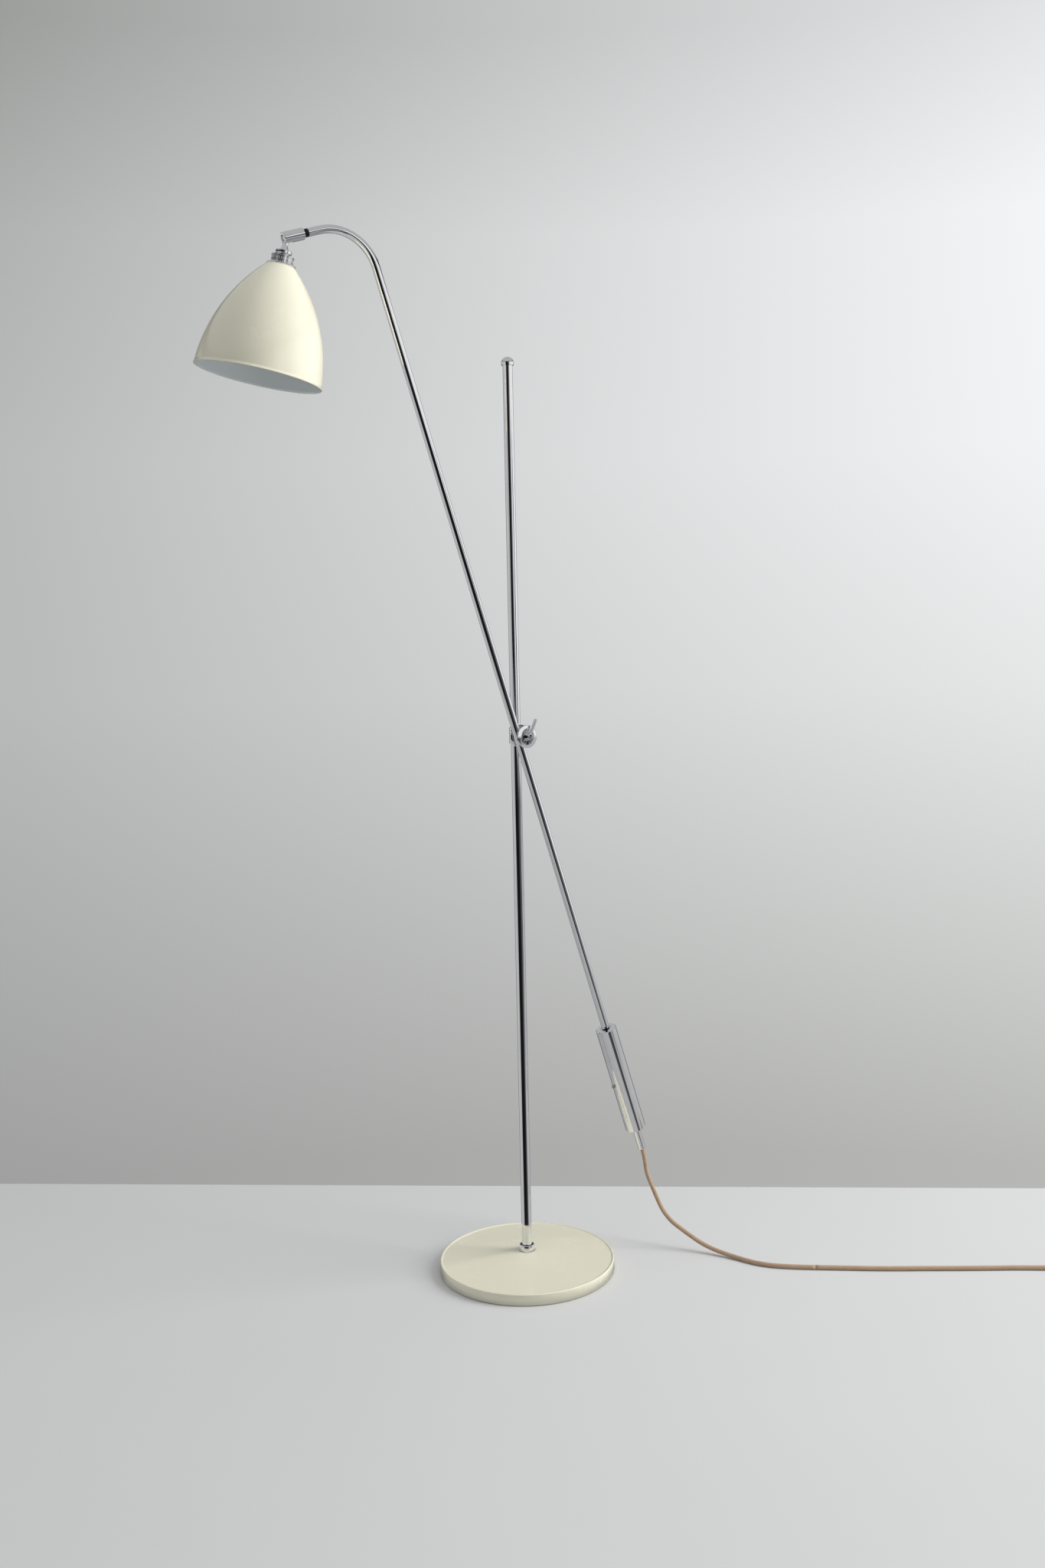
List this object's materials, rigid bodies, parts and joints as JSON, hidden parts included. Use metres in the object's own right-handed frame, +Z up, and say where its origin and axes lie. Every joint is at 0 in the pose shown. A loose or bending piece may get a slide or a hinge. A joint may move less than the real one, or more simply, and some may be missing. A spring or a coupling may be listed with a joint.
{
  "type": "floor lamp",
  "caption": "Standing lamp with a round weighted base, a slim pole, a counterweighted bent arm held in a two-disc clamp, and a bell-shaped shade on a ball knuckle.",
  "frame": {"origin": "centre of the base's underside, on the pole's axis", "axes": "+Z up along the pole, -X towards the shade, +X towards the counterweight and the lead, -Y along the clamp's screw towards its lever"},
  "size_m": [1.3856, 0.7036, 1.6383],
  "materials": {
    "polished_metal": "polished plate",
    "pad_rubber": "matt",
    "zinc_plate": "zinc plated",
    "base_iron": "as cast",
    "bush_brass": "machined",
    "bright_brass": "polished",
    "aged_brass": "darkened",
    "plain_steel": "turned",
    "liner_plastic": "plain",
    "lead_plastic": "fine grain",
    "button_plastic": "smooth",
    "tie_plastic": "plain",
    "lead_cloth": "braided cotton",
    "holder_metal": "satin",
    "cream_enamel": "stove-enamelled gloss",
    "bulb_metal": "rolled",
    "bulb_glass": "frosted"
  },
  "bodies": {
    "stand": {"foot_pad": "pad_rubber", "bottom_plate": "zinc_plate", "plate_screws": "zinc_plate", "base_weight": "base_iron", "base_cover": "cream_enamel", "foot_bush": "bush_brass", "pole_collar": "polished_metal"},
    "pole": {"pole_tube": "polished_metal", "pole_spigot": "plain_steel", "foot_washer": "zinc_plate", "foot_screw": "zinc_plate", "pole_cap": "polished_metal", "switch_housing": "lead_plastic", "flex_link": "lead_cloth", "flex_coil": "lead_cloth", "coil_tie": "tie_plastic", "flex_tail": "lead_cloth", "plug_relief": "lead_plastic", "plug_body": "lead_plastic", "plug_pins": "bright_brass"},
    "carriage": {"pole_sleeve": "polished_metal", "sleeve_liner": "liner_plastic", "clamp_plate": "polished_metal", "friction_ring": "liner_plastic", "pressure_pad": "bush_brass", "flex_run": "lead_cloth"},
    "lever": {"clamp_screw": "plain_steel", "lever_hub": "polished_metal", "lever_rod": "polished_metal"},
    "arm": {"clamp_saddle": "polished_metal", "clamp_cap": "polished_metal", "clamp_spacer": "plain_steel", "arm_tube": "polished_metal", "arm_gland": "polished_metal", "inner_flex": "lead_cloth", "end_nipple": "aged_brass", "nipple_clip": "plain_steel", "flex_drop": "lead_cloth"},
    "balance": {"counterweight": "polished_metal", "set_screw": "plain_steel"},
    "knuckle": {"knuckle_barrel": "polished_metal", "ball_seat": "liner_plastic", "seat_spring": "plain_steel"},
    "head": {"swivel_stem": "polished_metal", "holder_dome": "polished_metal", "lamp_holder": "holder_metal", "shade_ring": "polished_metal", "shade_flange": "polished_metal", "shade_nut": "holder_metal", "shade": "cream_enamel", "centre_contact": "bright_brass", "bulb_cap": "bulb_metal", "bulb_glass": "bulb_glass"},
    "button": {"switch_button": "button_plastic"}
  },
  "joints": [
    {"name": "pole_swivel", "type": "hinge", "parent": "stand", "child": "pole", "pos_m": [0, 0, 0], "axis": [0, 0, 1], "range_deg": [-170, 170]},
    {"name": "height_slide", "type": "slide", "parent": "pole", "child": "carriage", "axis": [0, 0, 1], "range_m": [0, 0.57], "deforming": ["flex_run"]},
    {"name": "arm_tilt", "type": "hinge", "parent": "carriage", "child": "arm", "pos_m": [0, -0.0246, 0.8575], "axis": [0, -1, 0], "range_deg": [-12, 72], "deforming": ["flex_drop"]},
    {"name": "lever_turn", "type": "hinge", "parent": "carriage", "child": "lever", "pos_m": [0, -0.0413, 0.8575], "axis": [0, -1, 0], "range_deg": [0, 150]},
    {"name": "counterweight_slide", "type": "slide", "parent": "arm", "child": "balance", "axis": [-0.3065, 0, 0.9519], "range_m": [-0.02, 0.15]},
    {"name": "head_roll", "type": "hinge", "parent": "arm", "child": "knuckle", "pos_m": [-0.38935, -0.0246, 1.61145], "axis": [-0.9519, 0, -0.3065], "range_deg": [-150, 150]},
    {"name": "shade_tilt", "type": "hinge", "parent": "knuckle", "child": "head", "pos_m": [-0.38935, -0.0246, 1.61145], "axis": [0.0326, -0.9943, -0.1011], "range_deg": [-50, 33]},
    {"name": "switch_press", "type": "slide", "parent": "pole", "child": "button", "axis": [0, 0, -1], "range_m": [0, 0.0015], "stiffness_N_per_m": 1500, "springref_m": -0.001}
  ]
}
